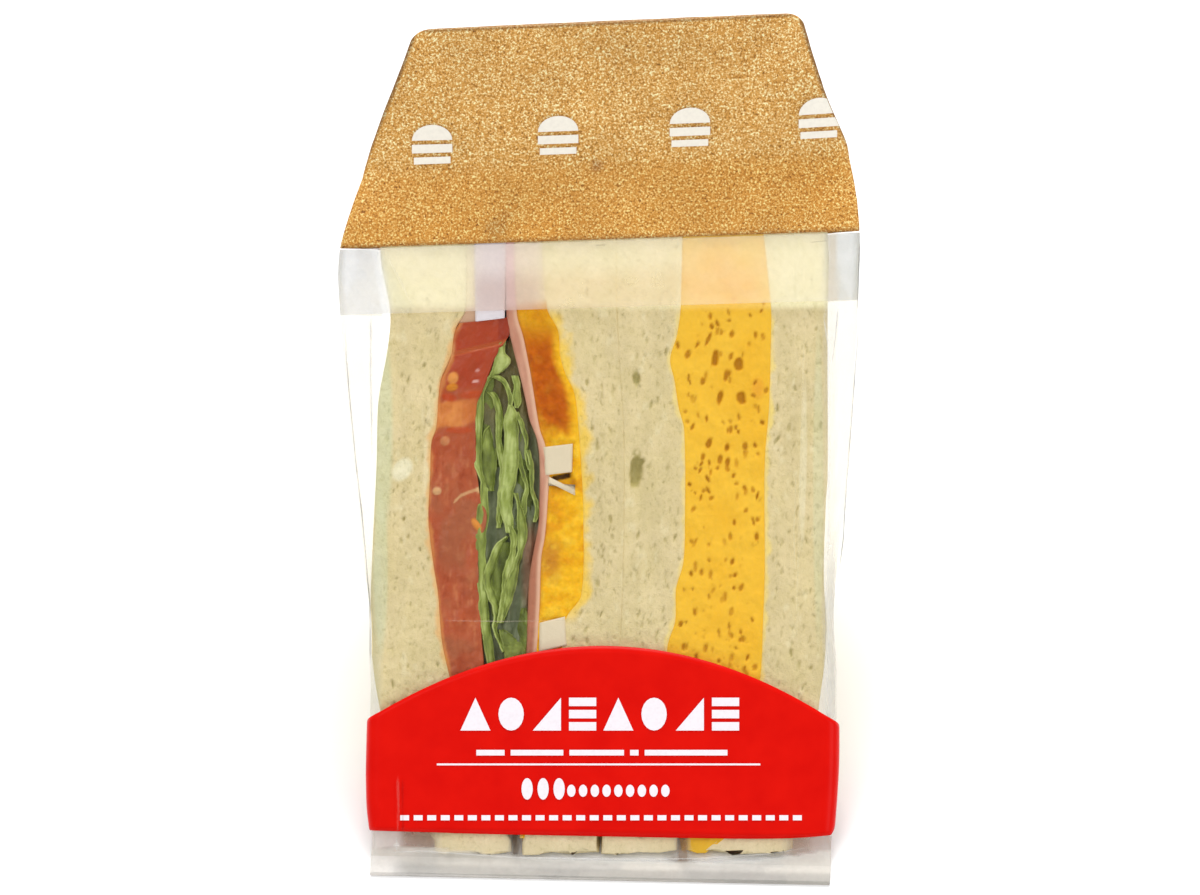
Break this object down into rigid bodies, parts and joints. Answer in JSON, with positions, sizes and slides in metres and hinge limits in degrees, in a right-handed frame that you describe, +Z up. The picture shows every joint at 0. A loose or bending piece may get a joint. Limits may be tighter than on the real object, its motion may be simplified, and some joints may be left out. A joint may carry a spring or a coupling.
{
  "type": "sealed triangular sandwich pack",
  "caption": "Clear sealed triangular pack of cut sandwiches with omelette, boiled egg, ham, lettuce and tomato, closed by a kraft header and a red wrap-round label.",
  "frame": {"origin": "middle of the footprint, on the surface under the pack", "axes": "+Z up; the sloping front with the cut faces looks towards -Y and +Z; +X to the right of someone facing it"},
  "size_m": [0.1112, 0.125, 0.1364],
  "materials": {
    "film": "clear glossy film, frosted at its top band and bottom hem",
    "kraft": "brown paper print with a fine gold glitter",
    "label": "glossy red print with plain white marks",
    "bread": "soft white crumb with fine pores",
    "omelette": "moist cooked egg with long pores",
    "tomato": "wet cut flesh with seeds",
    "lettuce": "crisp folded leaf",
    "ham": "smooth moist slice",
    "egg_white": "smooth moist boiled white",
    "egg_yolk": "crumbly boiled yolk"
  },
  "bodies": {
    "root": {"film_bag": "film", "kraft_header": "kraft", "front_label": "label"}
  },
  "joints": []
}
